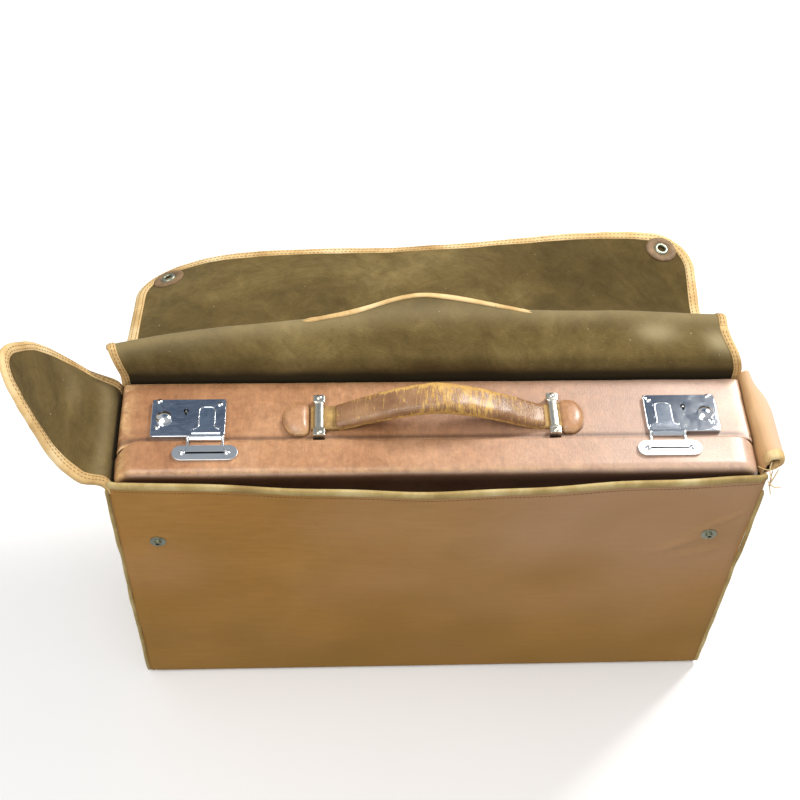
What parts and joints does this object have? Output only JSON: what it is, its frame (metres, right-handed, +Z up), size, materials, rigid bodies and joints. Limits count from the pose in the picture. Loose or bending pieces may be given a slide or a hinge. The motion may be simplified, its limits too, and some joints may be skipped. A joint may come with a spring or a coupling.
{
  "type": "attache case in fitted cover",
  "caption": "Rigid leather attache case with lever locks and an arched handle, standing in a lined canvas slip cover whose lid is thrown back.",
  "frame": {"origin": "centre of the cover's bottom face", "axes": "+Z up, -Y the front with the snap studs, +X to the right seen from the front"},
  "size_m": [0.5495, 0.2711, 0.3723],
  "materials": {
    "canvas": "matte waxed canvas",
    "lining": "brushed moleskin",
    "binding": "stitched cotton tape",
    "case_leather": "satin grained hide",
    "handle_leather": "worn glazed hide",
    "patch_leather": "matte suede",
    "case_lining": "glued lining cloth",
    "chrome": "polished",
    "nickel": "worn plated",
    "steel": "plain",
    "brass": "dull plated"
  },
  "bodies": {
    "cover": {"cover_bottom_canvas": "canvas", "cover_bottom_lining": "lining", "cover_front_canvas": "canvas", "cover_front_lining": "lining", "cover_back_canvas": "canvas", "cover_back_lining": "lining", "cover_left_canvas": "canvas", "cover_left_lining": "lining", "cover_right_canvas": "canvas", "cover_right_lining": "lining", "mouth_binding": "binding", "seam_bindings": "binding", "snap_studs": "brass", "right_tongue_canvas": "canvas", "right_tongue_lining": "lining"},
    "left_tongue": {"left_tongue_canvas": "canvas", "left_tongue_lining": "lining", "left_tongue_binding": "binding"},
    "lid_rear": {"lid_rear_canvas": "canvas", "lid_rear_lining": "lining", "lid_rear_binding": "binding"},
    "lid_front": {"lid_front_canvas": "canvas", "lid_front_lining": "lining", "lid_front_binding": "binding"},
    "drop_flap": {"flap_canvas": "canvas", "flap_lining": "lining", "flap_binding": "binding", "snap_patches": "patch_leather", "snap_sockets": "brass", "snap_caps": "brass"},
    "case": {"case_body_shell": "case_leather", "case_lid_shell": "case_leather", "case_body_lining": "case_lining", "case_lid_lining": "case_lining", "body_hinge_leaves": "steel", "lid_hinge_leaves": "steel", "case_hinge_pins": "steel", "left_lock_plate": "chrome", "right_lock_plate": "chrome", "lock_rivets": "chrome", "lock_key_posts": "steel", "lock_springs": "steel", "hasp_bases": "chrome", "hasp_screws": "chrome", "hasp_pins": "steel", "handle_keepers": "nickel", "keeper_rivets": "nickel"},
    "left_hasp": {"left_hasp": "chrome"},
    "right_hasp": {"right_hasp": "chrome"},
    "left_lock_slide": {"left_lock_knob": "chrome", "left_lock_bolt": "steel"},
    "right_lock_slide": {"right_lock_knob": "chrome", "right_lock_bolt": "steel"},
    "grip": {"handle_grip": "handle_leather"},
    "left_shoulder": {"left_shoulder": "handle_leather"},
    "right_shoulder": {"right_shoulder": "handle_leather"},
    "left_strap_end": {"left_strap_end": "handle_leather"},
    "right_strap_end": {"right_strap_end": "handle_leather"}
  },
  "joints": [
    {"name": "case_lift", "type": "slide", "parent": "cover", "child": "case", "axis": [0, 0, 1], "range_m": [0, 0.3]},
    {"name": "lid_fold", "type": "hinge", "parent": "cover", "child": "lid_rear", "pos_m": [0, 0.048, 0.2942], "axis": [-1, 0, 0], "range_deg": [-145, 25]},
    {"name": "slit_fold", "type": "hinge", "parent": "lid_rear", "child": "lid_front", "pos_m": [0, 0.08486, 0.32001], "axis": [-1, 0, 0], "range_deg": [-90, 15.6]},
    {"name": "flap_fold", "type": "hinge", "parent": "lid_front", "child": "drop_flap", "pos_m": [0, 0.11813, 0.2725], "axis": [-1, 0, 0], "range_deg": [-49, 15]},
    {"name": "left_tongue_fold", "type": "hinge", "parent": "cover", "child": "left_tongue", "pos_m": [-0.2355, 0, 0.2899], "axis": [0, -1, 0], "range_deg": [-128, 72]},
    {"name": "left_hasp_hinge", "type": "hinge", "parent": "case", "child": "left_hasp", "pos_m": [-0.1675, -0.0122, 0.2848], "axis": [1, 0, 0], "range_deg": [0, 115]},
    {"name": "right_hasp_hinge", "type": "hinge", "parent": "case", "child": "right_hasp", "pos_m": [0.1675, -0.0122, 0.2848], "axis": [1, 0, 0], "range_deg": [0, 115]},
    {"name": "left_knob_slide", "type": "slide", "parent": "case", "child": "left_lock_slide", "axis": [-1, 0, 0], "range_m": [0, 0.003], "stiffness_N_per_m": 300},
    {"name": "right_knob_slide", "type": "slide", "parent": "case", "child": "right_lock_slide", "axis": [1, 0, 0], "range_m": [0, 0.003], "stiffness_N_per_m": 300},
    {"name": "handle_drop", "type": "slide", "parent": "case", "child": "grip", "axis": [0, 0, 1], "range_m": [-0.01, 0]},
    {"name": "left_shoulder_fold", "type": "hinge", "parent": "grip", "child": "left_shoulder", "pos_m": [-0.03, 0.0065, 0.30075], "axis": [0, -1, 0], "range_deg": [-14.5, 0]},
    {"name": "right_shoulder_fold", "type": "hinge", "parent": "grip", "child": "right_shoulder", "pos_m": [0.03, 0.0065, 0.30075], "axis": [0, 1, 0], "range_deg": [-14.5, 0]},
    {"name": "left_end_fold", "type": "hinge", "parent": "left_shoulder", "child": "left_strap_end", "pos_m": [-0.068, 0.0065, 0.2822], "axis": [0, 1, 0], "range_deg": [-14.5, 0]},
    {"name": "right_end_fold", "type": "hinge", "parent": "right_shoulder", "child": "right_strap_end", "pos_m": [0.068, 0.0065, 0.2822], "axis": [0, -1, 0], "range_deg": [-14.5, 0]}
  ],
  "couplings": [
    {"joint": "slit_fold", "follows": "lid_fold", "ratio": 0.62069},
    {"joint": "left_shoulder_fold", "follows": "handle_drop", "rad_per_m": 25.053},
    {"joint": "right_shoulder_fold", "follows": "handle_drop", "rad_per_m": 25.053},
    {"joint": "left_end_fold", "follows": "handle_drop", "rad_per_m": 25.053},
    {"joint": "right_end_fold", "follows": "handle_drop", "rad_per_m": 25.053}
  ]
}
